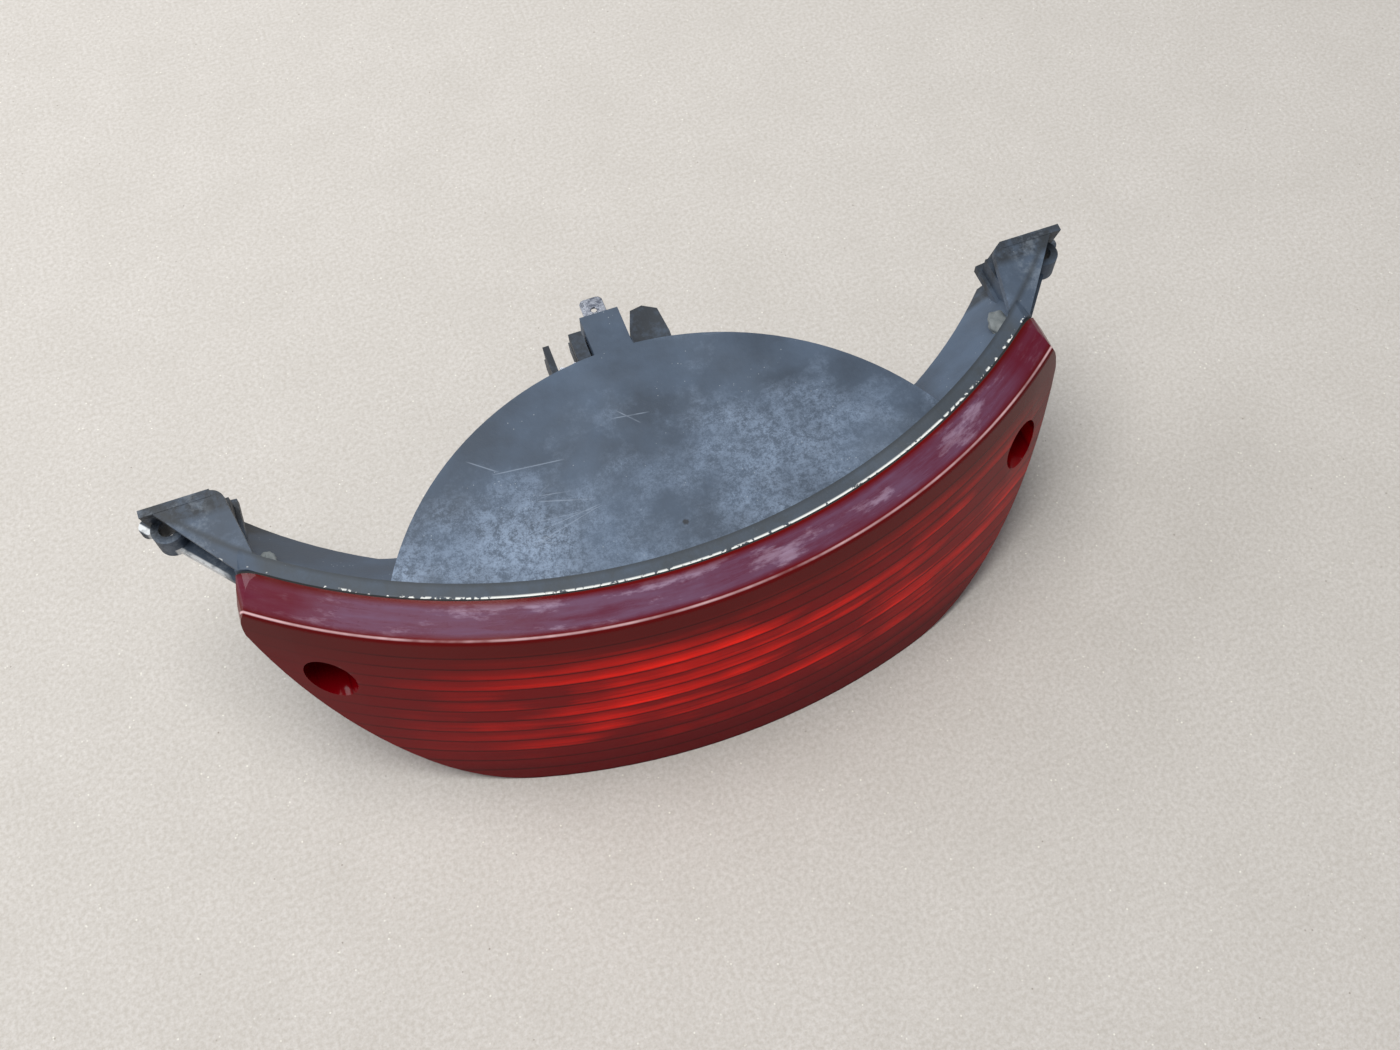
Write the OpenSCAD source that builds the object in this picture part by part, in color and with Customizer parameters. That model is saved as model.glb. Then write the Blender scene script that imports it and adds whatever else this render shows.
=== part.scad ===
// Scooter tail light: a one-piece red lens screwed to a dark moulded housing,
// with a bayonet stop and tail bulb, its sprung holder and a three-way connector.
//
// Frame: +X to the right of someone facing the lens, +Y into the vehicle, +Z up.
// The origin is on the floor, under the middle of the lamp's outer box.
// The outlines are drawn in a working frame whose Z = 0 is the face of the top
// plate and whose Y = 0 is near the plate's corners; place() moves them.

/* [Lamp body] */
// Width of the lens across its two ends
lens_w = 212; // [178:1:254]
// Height from the floor to the face of the top plate
body_h = 51; // [46:1:61]
// Radius of the lens's front crease, seen from above
sweep_r = 170; // [165:1:204]
// How far the crease stands in front of the working frame's X axis
front_reach = 32; // [29:1:36]
// Angle by which the front face leans out towards its lower edge
face_lean = 16.7; // [14:0.1:20]
// Wall of the housing's shells
wall = 2.4; // [2:0.1:2.8]

/* [Lens] */
// Depth of the strip on top of the lens, from its rear rim to the crease
strip_w = 8.2; // [7:0.1:9.8]
// Rise of that strip from the crease to the rim
rim_rise = 3.6; // [3:0.1:4.3]
// Thickness of the lens
lens_t = 2.6; // [2.2:0.1:3.1]
// Number of horizontal flutes inside the front face
flute_n = 12; // [10:1:14]
// Depth of one flute
flute_d = 0.8; // [0.6:0.1:1]

/* [Housing] */
// Radius of the half-moon top plate's rear edge
bowl_r = 78.2; // [72:0.2:80]
// Distance from the working X axis forward to that edge's centre
bowl_back = 34.4; // [32:0.2:37]
// Width of the raised lip behind the lens
lip_w = 5; // [4:0.1:6]
// Depth of the shells behind the ends of the lens
wing_d = 17.5; // [15:0.1:18.5]

/* [Ears] */
// How far the flap's outer corner stands beyond the lens
ear_out = 13; // [11:0.1:15.6]
// Thickness of the ear's plates
ear_t = 2.2; // [1.9:0.1:2.6]
// Diameter of the fixing hole in each ear
ear_hole_d = 4.4; // [3.7:0.1:5]

/* [Lens screws] */
// Distance of each screw from the end of the lens
screw_in = 15; // [13.5:0.1:17]
// Drop of each screw below the top plate
screw_drop = 16; // [15:0.1:17.2]
// Bore of the deep pocket round each screw
pocket_d = 11.2; // [10.4:0.1:11.6]
// Diameter of the screw's thread
screw_d = 4; // [3.5:0.1:4.4]
// Pitch of the screw's thread
screw_pitch = 1.4; // [1.2:0.1:1.6]
// Length of the screw under its head
screw_l = 17; // [15:0.5:19]

/* [Bulb] */
// Diameter of the bulb's glass
glass_d = 25; // [21:0.5:28]
// Length of the glass in front of the cap
glass_l = 35; // [31:0.5:38]
// Diameter of the bayonet cap
cap_d = 15; // [13:0.1:16]
// Length of the bayonet cap
cap_l = 18; // [16:0.5:20]
// Diameter of a bayonet pin
pin_d = 2; // [1.7:0.1:2.2]
// Travel of the sprung contact carrier
push = 2; // [1.7:0.1:2.2]
// Angle between the locked bulb and the slot it leaves by
twist = 22; // [19:1:26]

/* [Connector] */
// Width of one blade terminal
blade_w = 6.3; // [5.3:0.1:7.5]
// Thickness of one blade terminal
blade_t = 0.8; // [0.7:0.1:1]
// Distance between neighbouring blades
blade_pitch = 11; // [10:0.1:13]
// Length of the middle block behind the rear edge of the top plate
block_l = 13; // [10.8:0.1:15.6]
// Length of blade that stands out of the middle block
blade_out = 8.6; // [7:0.1:10.4]

/* [Fits] */
// Clearance between a turning or sliding piece and its guide
run_fit = 0.08; // [0.05:0.01:0.1]
// Gap between faces that touch on different moving pieces
face_gap = 0.05; // [0.03:0.01:0.1]
// Clearance between pieces that never move against each other
still_fit = 0.05; // [0.02:0.01:0.1]

/* [Hidden] */
$fn = 96;
LEFT = -1;
RIGHT = 1;
cut = 1;                 // overshoot of a cut past the face it opens
far = 300;               // longer than anything in the lamp

lean = tan(face_lean);
half_w = lens_w / 2;
sweep_y = sweep_r - front_reach;
gasket_t = 0.8;
rim_r = sweep_r - strip_w;
flange_r = rim_r - gasket_t;
groove_r = flange_r - lip_w;
groove_w = 0.8;
lip_top = rim_rise - 0.6;
ring_w = 5;              // width of the housing's ring behind the rim of the lens

// The lens seen from the front: a flat foot, a round lower corner and a wide side arc.
low_r = 0.9 * body_h;
side_r = 1.5 * body_h;
side = [half_w - 1.4 * body_h, 0.4 * body_h];
low = [side.x + sqrt(pow(side_r - low_r, 2) - pow(body_h / 2, 2)), low_r - body_h];
corner_r = 9;            // rounding of the top corners of the lens
crease_r = 2;            // rounding of the crease between its strip and its face
end_slope = 0.27;        // how much the ends of the lens close in towards the vehicle
wing_slope = 0.12;       // and those of the shells behind it

// Places that several pieces share.
crease_end_y = sweep_at(sweep_r, half_w);
rim_end_y = sweep_at(rim_r, half_w - 3);
wing_r = groove_r - wing_d + 5;
wing_end_y = sweep_at(wing_r, half_w - 5);
wing_drop = 13;
screw_x = half_w - screw_in;
pocket_wall = 1.3;
pocket_floor_y = sweep_at(rim_r, screw_x) + 0.5;
pocket_floor_t = 3;
boss_y = pocket_floor_y + pocket_floor_t;
boss_d = 10;
insert_d = 6.4;
insert_l = 10;
washer_t = 1.5;
washer_d = 9.2;
head_d = 7.8;
head_h = 2.7;
head_y = pocket_floor_y - washer_t - 2 * face_gap;

// The bulb, its holder and the stack of pieces behind it, along Y.
bulb_z = -body_h / 2 - 1;
back_y = bowl_r - bowl_back;                    // rear edge of the top plate
holder_back_y = back_y - 7.8;
holder_t = 0.8;
spring_end_y = holder_back_y - holder_t;
spring_l = 4.2;
carrier_t = 2.5;
pad_t = 0.5;
carrier_y = spring_end_y - spring_l - carrier_t;
pad_y = carrier_y - pad_t;
pip_h = 1;
cap_back_y = pad_y - face_gap - pip_h;
cap_front_y = cap_back_y - cap_l;
holder_bore = cap_d + 2 * run_fit;
holder_d = holder_bore + 2 * holder_t;
holder_l = 23;
pin_reach = 1;                                  // height of a pin above the cap
pin_ys = [cap_back_y - 7, cap_back_y - 10];
contact_z = 3.2;
post_x = holder_d / 2 + 5.5;
post_d = 7;
rivet_d = 3;
flange_t = 0.8;
flange_y = holder_back_y - 2.9;

block_top = -1.2;
block_h = 10;
blade_z = block_top - block_h / 2;
block_end_y = back_y + block_l;
blade_in_y = back_y - 8.4;
blade_end_y = block_end_y + blade_out;
stub_end_y = back_y + 3.5;

// The middle of the outer box, from the foot of the lens to the tip of the blade.
foot_y = sweep_y - (sweep_r + lean * body_h);
mid_y = (foot_y + blade_end_y) / 2;

function lean_r(r, z) = r - lean * z;
function sweep_at(r, x) = sweep_y - sqrt(r * r - x * x);

module place() {
    translate([0, -mid_y, body_h]) children();
}

// Turns a shape drawn along Z so that it points along +Y.
module along_y(x, y, z) {
    translate([x, y, z]) rotate([-90, 0, 0]) children();
}

// Turns a profile (radius, height) about the lens's own vertical axis.
module sweep() {
    translate([0, sweep_y, 0]) rotate_extrude($fn = 360) children();
}

// ---- the shared outline of the lens, its gasket and the housing's rim ----

function arc(centre, r, from, to, n) =
    [for (i = [0 : n]) let (a = from + (to - from) * i / n) centre + r * [cos(a), sin(a)]];

function flip_x(points) = [for (i = [len(points) - 1 : -1 : 0]) [-points[i].x, points[i].y]];

function right_half(inset) = let (
        meet = atan2(low.y - side.y, low.x - side.x),
        end = -acos((half_w - inset - side.x) / (side_r - inset)))
    concat(arc(low, low_r - inset, -90, meet, 10), arc(side, side_r - inset, meet, end, 12),
        arc([half_w - corner_r, rim_rise - corner_r], corner_r - inset, 0, 90, 8));

module outline(inset = 0) {
    polygon(concat(right_half(inset), flip_x(right_half(inset))));
}

// The outline drawn out along Y, from the front of the lamp to back_limit.
module outline_block(inset, back_limit = 80) {
    translate([0, back_limit, 0]) rotate([90, 0, 0]) linear_extrude(far) outline(inset);
}

// A plan with sloping ends, drawn out along Z.
module plan_block(inset, rear_slope = end_slope) {
    front = half_w - inset + end_slope * (crease_end_y + 80);
    rim = half_w - inset - end_slope * (rim_end_y - crease_end_y);
    back = rim - rear_slope * (80 - rim_end_y);
    translate([0, 0, -body_h - cut]) linear_extrude(body_h + 20)
        polygon([[-front, -80], [front, -80], [rim, rim_end_y], [back, 80], [-back, 80], [-rim, rim_end_y]]);
}

// A leaning band between two radii.
module band(r0, r1) {
    top = 10;
    bottom = -body_h - 10;
    sweep() polygon([[lean_r(r0, top), top], [lean_r(r1, top), top],
        [lean_r(r1, bottom), bottom], [lean_r(r0, bottom), bottom]]);
}

// ---- lens ----

strip_k = rim_rise / (sweep_r - lean_r(rim_r, rim_rise));

// Points of an arc of radius crease_r that touches the strip and the face near the crease.
function crease_arc(crease) = let (
        from = 90 - atan(strip_k),
        to = atan(lean),
        reach = crease_r * tan((from - to) / 2),
        foot = crease + reach * [sin(to), -cos(to)],
        centre = foot - crease_r * [cos(to), sin(to)])
    arc(centre, crease_r, from, to, 6);

// Solid form of the lens, its skin moved in by inset and its rim back by deeper.
module lens_form(inset, deeper = 0, fluted = false) {
    face = inset / cos(face_lean);
    skin = inset / cos(atan(strip_k));
    corner_z = (strip_k * face - skin) / (1 - strip_k * lean);
    crease = [lean_r(sweep_r - face, corner_z), corner_z];
    back_r = lean_r(rim_r - deeper, rim_rise);
    bottom = -body_h - cut;
    pitch = (body_h - 2 * lens_t) / flute_n;
    teeth = [for (i = [0 : flute_n - 1]) let (z = corner_z - cut - i * pitch)
        each [[lean_r(sweep_r - face, z), z],
            [lean_r(sweep_r - face, z - pitch) - flute_d, z - 0.96 * pitch]]];
    intersection() {
        sweep() polygon(concat(
            [[lean_r(rim_r - deeper, bottom), bottom], [back_r, strip_k * (sweep_r - back_r) - skin]],
            inset > 0 ? [crease] : crease_arc(crease),
            fluted ? teeth : [],
            [[lean_r(sweep_r - face, bottom), bottom]]));
        outline_block(inset);
        plan_block(inset);
    }
}

module pocket(d, y0, y1) {
    for (s = [LEFT, RIGHT]) along_y(s * screw_x, y0, -screw_drop) cylinder(d = d, h = y1 - y0);
}

module lens() color("red") place() difference() {
    union() {
        difference() {
            lens_form(0);
            lens_form(lens_t, 12, true);
        }
        intersection() {
            lens_form(0, 20);
            pocket(pocket_d + 2 * pocket_wall, -60, boss_y);
        }
    }
    pocket(pocket_d, -60, pocket_floor_y);
    pocket(screw_d + 1, -60, boss_y + cut);
}

module lens_gasket() color("dimgray") place() difference() {
    intersection() {
        band(flange_r + still_fit, rim_r - still_fit);
        outline_block(0.4);
        plan_block(0.4);
    }
    intersection() {
        outline_block(lens_t - 0.2);
        plan_block(lens_t - 0.2);
    }
    pocket(pocket_d + 2 * pocket_wall + 0.6, -60, 40);
}

// ---- housing ----

// The shells behind the ends of the lens: a sloping back, an upright one and a sloping foot.
module wing_form(inset) {
    k = wing_drop / (groove_r - wing_r);
    slope = inset * sqrt(1 + k * k);
    top = lip_top - inset;
    rear = wing_r + inset;
    foot = inset - body_h;
    front = flange_r - inset;
    intersection() {
        sweep() polygon([[rear, -wing_drop - slope + k * inset], [groove_r, -slope], [groove_r, top],
            [lean_r(front, top), top], [lean_r(front, foot), foot], [wing_r + 10 + inset / 2, foot],
            [rear, -0.6 * body_h]]);
        outline_block(inset);
        plan_block(inset, wing_slope);
    }
}

// The deep bowl under the half-moon plate.
module bowl_form(inset) {
    foot = -body_h + inset;
    r = bowl_r - inset;
    intersection() {
        translate([0, -bowl_back, 0]) rotate_extrude($fn = 240)
            polygon([[0, -inset], [r, -inset], [r, -4], [r - 2, -0.68 * body_h],
                [r - 11, foot + 8], [r - 21, foot], [0, foot]]);
        sweep() polygon([[0, -inset], [groove_r, -inset], [lean_r(flange_r - inset, -inset), -inset],
            [lean_r(flange_r - inset, foot), foot], [0, foot]]);
    }
}

// Where a circle of radius a about the bowl's centre meets one of radius b about the sweep's axis.
function meeting(a, b) = let (y = (a * a - b * b - bowl_back * bowl_back + sweep_y * sweep_y)
        / (2 * (sweep_y + bowl_back)))
    [sqrt(a * a - pow(y + bowl_back, 2)), y];

// A layer under the sloping top of the end shells, carried on run millimetres back from the lip.
module under_slope(depth, run) {
    k = wing_drop / (groove_r - wing_r);
    sweep() polygon([[groove_r - run, -k * run - depth], [groove_r, -depth], [groove_r, 0],
        [groove_r - run, -k * run]]);
}

// Web that rounds the corner between a wing and the bowl.
module fillet_web() {
    r = 18;
    bowl = [0, -bowl_back];
    axis = [0, sweep_y];
    to_bowl = bowl_r - 1 + r;
    to_axis = wing_r + 1 - r;
    centre = meeting(to_bowl, to_axis);
    corner = meeting(bowl_r, wing_r);
    intersection() {
        translate([0, 0, -body_h]) linear_extrude(body_h) difference() {
            polygon([bowl + (centre - bowl) * (to_bowl - r - 1.5) / to_bowl,
                axis + (centre - axis) * (to_axis + r + 1.5) / to_axis, corner - [0, 9]]);
            translate(centre) circle(r);
        }
        under_slope(8, 45);
    }
}

// Sheet that carries the sloping top of the end shell on to the ear.
module end_sheet() {
    intersection() {
        translate([0, 0, -0.1]) under_slope(1.2 * wall, groove_r - wing_r - 0.2);
        translate([half_w - 14, 0, -body_h]) cube([13, wing_end_y, 2 * body_h]);
    }
}

module ear_flap() {
    rise = 4.2;
    run = wing_end_y - rim_end_y - 1;
    tip = [half_w + ear_out, run + 1];
    heel_r = 3.5;
    heel = [half_w - 5 + heel_r, run + 1 - heel_r];
    translate([0, rim_end_y, 1.2]) rotate([atan(rise / run), 0, 0])
        translate([0, 0, -ear_t]) linear_extrude(ear_t) {
            polygon([[half_w - 8, 1.8], [half_w - 3.4, 1.2], tip, [heel.x, tip.y],
                [heel.x - heel_r, heel.y]]);
            translate(heel) circle(heel_r);
        }
}

ear_hole = [half_w + ear_out - 2.5, wing_end_y - 3];
ear_low_z = -7.4;

module ear() {
    web_y = rim_end_y + 2.5;
    tip = [half_w + ear_out + 2.6, wing_end_y + 2];
    tip_r = 2.4;
    boss_top = -1;
    ear_flap();
    difference() {
        union() {
            translate([0, 0, ear_low_z]) linear_extrude(ear_t) {
                polygon([[half_w - 6, web_y], [half_w - 2, rim_end_y + 1.5], [half_w + 2.5, rim_end_y + 7],
                    [tip.x, tip.y - 2], tip, [tip.x - 1, tip.y + tip_r], [half_w - 6, wing_end_y + 2]]);
                translate(tip) circle(tip_r);
            }
            translate([ear_hole.x, ear_hole.y, ear_low_z])
                cylinder(d = ear_hole_d + 3.8, h = boss_top - ear_low_z);
        }
        translate([ear_hole.x, ear_hole.y, ear_low_z - cut]) cylinder(d = ear_hole_d, h = far);
    }
    // Wall that ties the flap's rear edge to the lower plate.
    back_run = wing_end_y;
    rotate([90, 0, 90]) translate([0, 0, half_w - 2]) linear_extrude(ear_out + 4)
        polygon([[back_run - 2, 5.3], [back_run, 5.5], [tip.y + 1, ear_low_z + ear_t],
            [tip.y + 1, ear_low_z], [tip.y - 1.2, ear_low_z], [tip.y - 1.2, ear_low_z + ear_t]]);
    // Web that ties the ear's inner end to the end wall of the lamp.
    translate([half_w - 5, web_y, ear_low_z]) cube([2.4, wing_end_y - web_y, 7]);
}

module connector_body() {
    root = back_y - 3;
    floor_z = block_top - block_h;
    // Whole middle block.
    translate([-blade_pitch / 2 + 0.3, root, floor_z])
        cube([blade_pitch - 0.6, block_end_y - root, block_h]);
    // Right cell, snapped off at a slant.
    x0 = blade_pitch / 2;
    x1 = 1.5 * blade_pitch;
    translate([0, 0, floor_z]) linear_extrude(block_h - 1.5)
        polygon([[x0 - 1, root], [x0 + 0.6, back_y + 6], [x0 + 2.6, back_y + 11.6], [x0 + 6, back_y + 12.2],
            [x1 - 1.4, back_y + 10], [x1 - 0.8, back_y + 2], [x1 - 1.4, root - 3]]);
    // Left cell: only splinters of its floor and its two walls are left.
    translate([0, 0, floor_z]) linear_extrude(1.8)
        polygon([[-x0 + 1, root], [-x0 - 0.4, back_y + 7.2], [-x0 - 2.2, back_y + 6.4],
            [-x0 - 3.4, back_y + 9.4],
            [-x0 - 4.4, back_y + 3], [-x0 - 6.6, back_y + 4.4], [-x1 + 1.6, back_y + 3.4],
            [-x1, back_y + 6.5], [-x1, root - 4]]);
    splinter(-x1 - 0.3, 1.7, back_y + 9, back_y + 8.6, 8.6);
    splinter(-x0 - 3.8, 3.5, back_y + 12, back_y + 10.5, 8);
}

// An upright sliver that slopes from y_tip at its foot to y_top at its head.
module splinter(x, w, y_tip, y_top, h) {
    root = back_y - 8;
    translate([x, 0, block_top - block_h]) rotate([90, 0, 90]) linear_extrude(w)
        polygon([[root, 0], [y_tip - 1.5, 0], [y_tip, 0.3 * h], [y_tip - 2.4, 0.6 * h],
            [y_top, h], [root, h]]);
}

module blade_slots() {
    for (i = [-1 : 1])
        translate([i * blade_pitch - blade_w / 2 - still_fit, blade_in_y - cut,
            blade_z - blade_t / 2 - still_fit])
            cube([blade_w + 2 * still_fit, far, blade_t + 2 * still_fit]);
}

module housing() color("darkslategray") place() {
    difference() {
        union() {
            wing_form(0);
            bowl_form(0);
            intersection() {
                connector_body();
                translate([-far / 2, back_y - 14, -body_h]) cube([far, far, body_h]);
            }
            for (s = [LEFT, RIGHT]) mirror([s == LEFT ? 1 : 0, 0, 0]) {
                fillet_web();
                end_sheet();
            }
        }
        // Inside of the bowl and of the end shells.
        bowl_form(wall);
        wing_form(wall);
        // Mouth of the ring behind the lens.
        intersection() {
            band(groove_r, rim_r + 20);
            outline_block(ring_w);
            plan_block(ring_w);
        }
        pocket(pocket_d + 2 * pocket_wall + 0.6, -60, boss_y);
        // Groove between the plate and the lip.
        intersection() {
            translate([0, 0, -0.6]) sweep() translate([groove_r - groove_w, 0]) square([groove_w, 2]);
            translate([-bowl_r, -60, -cut]) cube([2 * bowl_r, 120, 5]);
        }
        blade_slots();
    }
    difference() {
        intersection() {
            pocket(boss_d, boss_y, 60);
            wing_form(wall / 2);
        }
        pocket(insert_d + 2 * still_fit, -60, boss_y + 1 + insert_l);
        pocket(screw_d + 0.8, -60, boss_y + screw_l + 1);
    }
    // Posts that the bulb holder is riveted to.
    difference() {
        intersection() {
            for (s = [LEFT, RIGHT]) along_y(s * post_x, flange_y + flange_t, bulb_z)
                cylinder(d = post_d, h = 20);
            bowl_form(wall / 2);
        }
        for (s = [LEFT, RIGHT]) along_y(s * post_x, flange_y, bulb_z)
            cylinder(d = rivet_d + 2 * still_fit, h = 5.5);
    }
}

// Each ear is a node of its own, whose roots run into the wall of the end shell it grows from.
module ear_node(s) {
    color("darkslategray") place() mirror([s == LEFT ? 1 : 0, 0, 0]) ear();
}

module ear_left() ear_node(LEFT);
module ear_right() ear_node(RIGHT);

// ---- lens screws ----

module screw(s) {
    thread_n = floor((screw_l - 5) / screw_pitch);
    core = screw_d / 2 - 0.45;
    tip = 2.5;
    color("silver") place() along_y(s * screw_x, head_y, -screw_drop) difference() {
        rotate_extrude() polygon(concat(
            [[0, -head_h], [head_d / 2 - 1.2, -head_h], [head_d / 2 - 0.3, -head_h + 0.9],
                [head_d / 2, -head_h + 1.8],
                [head_d / 2, 0], [screw_d / 2 - 0.2, 0], [core, screw_l - tip - thread_n * screw_pitch]],
            [for (i = [thread_n : -1 : 1], p = [0, 1]) let (z = screw_l - tip - i * screw_pitch)
                p == 0 ? [screw_d / 2, z + 0.5 * screw_pitch] : [core, z + screw_pitch]],
            [[0, screw_l]]));
        for (a = [0, 90]) rotate([0, 0, a]) translate([-2.2, -0.5, -head_h - cut]) cube([4.4, 1, cut + 1.6]);
    }
}

module screw_seal(s) {
    color("black") place()
    along_y(s * screw_x, pocket_floor_y - face_gap - washer_t, -screw_drop) difference() {
        cylinder(d = washer_d, h = washer_t);
        translate([0, 0, -cut]) cylinder(d = screw_d + 2 * run_fit, h = washer_t + 2 * cut);
    }
}

module screw_insert(s) {
    color("goldenrod") place() along_y(s * screw_x, boss_y + 0.5, -screw_drop) difference() {
        rotate_extrude() polygon([[0, 0], [insert_d / 2, 0], [insert_d / 2, 3.5], [insert_d / 2 - 0.5, 4],
            [insert_d / 2 - 0.5, 6], [insert_d / 2, 6.5], [insert_d / 2, insert_l], [0, insert_l]]);
        translate([0, 0, -cut]) cylinder(d = screw_d + 2 * run_fit, h = insert_l + 2 * cut);
    }
}

module lens_screw_left() screw(LEFT);
module lens_screw_right() screw(RIGHT);
module screw_seal_left() screw_seal(LEFT);
module screw_seal_right() screw_seal(RIGHT);
module screw_insert_left() screw_insert(LEFT);
module screw_insert_right() screw_insert(RIGHT);

// ---- bulb, drawn along +Y from the front of its glass ----

glass_front_y = cap_front_y - glass_l;
glass_t = 0.8;
neck_r = cap_d / 2 - 1;
neck_back_y = cap_front_y + 8;
stem_front_y = cap_front_y - 5;
filament_y = glass_front_y + glass_d / 2 + 3;

module glass_profile(inset) {
    r = glass_d / 2;
    shoulder = sqrt(pow(r - inset, 2) - pow(neck_r - 1 - inset, 2));
    intersection() {
        union() {
            translate([0, r]) circle(r - inset);
            polygon([[0, r], [r * 0.8 - inset, r + 0.6 * r], [neck_r - inset, glass_l - 0.5],
                [neck_r - inset, glass_l + 8 + (inset > 0 ? cut : 0)],
                [0, glass_l + 8 + (inset > 0 ? cut : 0)]]);
            translate([0, r]) square([0.5, shoulder]);
        }
        square([r + 1, 2 * glass_l]);
    }
}

module bulb_glass() color("white", 0.4) place()
along_y(0, glass_front_y, bulb_z) rotate_extrude() difference() {
    glass_profile(0);
    glass_profile(glass_t);
}

module bulb_stem() color("white", 0.6) place() {
    along_y(0, cap_front_y + 1, bulb_z) cylinder(d1 = 6, d2 = 2 * (neck_r - glass_t - face_gap), h = 6);
    along_y(0, stem_front_y, bulb_z) cylinder(d = 3.2, h = cap_front_y + 2 - stem_front_y);
    translate([-4.6, stem_front_y + 0.6, bulb_z - 1]) cube([9.2, 4.6, 2]);
}

// A wound wire: n turns of radius r over length l, starting at the origin and running along X.
module winding(r, wire, l, n, sides = 8, steps = 14) {
    count = n * steps;
    function middle(i) = [l * i / count, r * cos(360 * i / steps), r * sin(360 * i / steps)];
    function ring_pt(i, j) = let (a = 360 * i / steps, b = 360 * j / sides)
        middle(i) + wire / 2 * [sin(b), cos(b) * cos(a), cos(b) * sin(a)];
    points = [for (i = [0 : count], j = [0 : sides - 1]) ring_pt(i, j)];
    skin = [for (i = [0 : count - 1], j = [0 : sides - 1])
        let (a = i * sides + j, b = i * sides + (j + 1) % sides) [a, b, b + sides, a + sides]];
    polyhedron(points, concat(skin, [[for (j = [sides - 1 : -1 : 0]) j]],
        [[for (j = [0 : sides - 1]) count * sides + j]]));
}

module wire(a, b, d) {
    v = b - a;
    translate(a) rotate([0, acos(v.z / norm(v)), atan2(v.y, v.x)]) cylinder(d = d, h = norm(v), $fn = 24);
}

// A wire through several points, with a small bead at each bend.
module wire_run(points, d) {
    for (i = [0 : len(points) - 2]) wire(points[i], points[i + 1], d);
    for (i = [1 : len(points) - 2]) translate(points[i]) sphere(d = 1.15 * d, $fn = 24);
}

filament_d = 0.3;
stop_half = 3.4;
tail_half = 2.8;
stop_z = bulb_z;
tail_z = bulb_z + 4;
tail_y = filament_y - 2.5;

module filament_stop() color("silver") place()
    translate([-stop_half, filament_y, stop_z]) winding(0.6, filament_d, 2 * stop_half, 9);

module filament_tail() color("silver") place()
    translate([-tail_half, tail_y, tail_z]) winding(0.45, filament_d, 2 * tail_half, 9);

module filament_leads() color("silver") place() for (s = [LEFT, RIGHT]) {
    wire([s * 3, stem_front_y + 0.8, stop_z], [s * stop_half, filament_y - 0.3, stop_z - 0.5], 0.5);
    wire([s * 1.3, stem_front_y + 0.8, stop_z + 0.8], [s * tail_half, tail_y - 0.3, tail_z - 0.3], 0.5);
}

cap_bore_r = neck_r + still_fit;

module bulb_cap() color("goldenrod") place() difference() {
    along_y(0, cap_front_y, bulb_z) rotate_extrude()
        polygon([[cap_bore_r, 0], [cap_d / 2 - 0.3, 0], [cap_d / 2, 0.6], [cap_d / 2, cap_l - 1.6],
            [cap_d / 2 - 1.4, cap_l], [cap_d / 2 - 1.9, cap_l], [cap_d / 2 - 1.9, cap_l - 2.6],
            [cap_bore_r, cap_l - 4]]);
    pins(0, still_fit);
}

// The two pins across the cap, the right one nearer to the contacts.
module pins(from_r, extra = 0) {
    for (i = [0, 1]) translate([0, pin_ys[i], bulb_z]) rotate([0, i == 0 ? 90 : -90, 0])
        translate([0, 0, from_r]) cylinder(d = pin_d + 2 * extra, h = cap_d / 2 - from_r + pin_reach);
}

module bulb_pins() color("goldenrod") place() pins(cap_bore_r);

module cap_insulator() color("black") place() along_y(0, cap_back_y - 2.6, bulb_z)
    cylinder(d = cap_d - 3.8, h = 2.6);

module cap_contacts() color("silver") place() for (s = [-1, 1])
    along_y(0, cap_back_y, bulb_z + s * contact_z) rotate_extrude()
        polygon([[0, 0], [1.7, 0], [1.5, 0.6], [1, pip_h], [0, pip_h]]);

// ---- bulb holder ----

module pin_slot(i) {
    reach = holder_d / 2 + 1;
    gap = 0.3;
    y0 = pin_ys[i] - pin_d / 2 - gap;
    y1 = pin_ys[i] + push + pin_d / 2 + gap;
    spread = asin((pin_d / 2 + 2 * gap) / (cap_d / 2));
    from = (i == 0 ? 0 : 180) - twist - spread;
    along_y(0, 0, bulb_z) rotate([0, 0, from]) rotate_extrude(angle = twist + 2 * spread)
        translate([cap_d / 2 - 1, y0]) square([reach - cap_d / 2 + 1, y1 - y0]);
    along_y(0, 0, bulb_z) rotate([0, 0, from + spread])
        translate([0, -pin_d / 2 - gap, holder_back_y - holder_l - cut])
            cube([reach, pin_d + 2 * gap, y1 - holder_back_y + holder_l + cut]);
}

module holder_shell() color("lightgray") place() difference() {
    union() {
        along_y(0, holder_back_y - holder_l, bulb_z) cylinder(d = holder_d, h = holder_l);
        along_y(0, flange_y, bulb_z) linear_extrude(flange_t) {
            square([2 * post_x, 8], center = true);
            for (s = [LEFT, RIGHT]) translate([s * post_x, 0]) circle(d = 8);
            translate([-3, -14]) square([6, 14]);
        }
    }
    along_y(0, holder_back_y - holder_l - cut, bulb_z)
        cylinder(d = holder_bore, h = holder_l + cut - holder_t);
    along_y(0, holder_back_y - 2 * holder_t, bulb_z) cylinder(d = 9, h = 3);
    for (i = [0, 1]) pin_slot(i);
    for (s = [LEFT, RIGHT]) along_y(s * post_x, flange_y - cut, bulb_z)
        cylinder(d = rivet_d + 2 * still_fit, h = 4);
}

module holder_rivets() color("silver") place() for (s = [LEFT, RIGHT])
    along_y(s * post_x, flange_y, bulb_z) rotate_extrude()
        polygon([[0, -1.1], [1.6, -1.1], [2.5, -0.5], [2.7, 0], [rivet_d / 2, 0], [rivet_d / 2, 5], [0, 5]]);

module contact_carrier() color("saddlebrown") place() difference() {
    along_y(0, carrier_y, bulb_z) cylinder(d = holder_bore - 0.7, h = carrier_t);
    for (s = [-1, 1]) along_y(0, carrier_y - cut, bulb_z + s * contact_z)
        cylinder(d = 1.8 + 2 * still_fit, h = 6);
}

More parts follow.
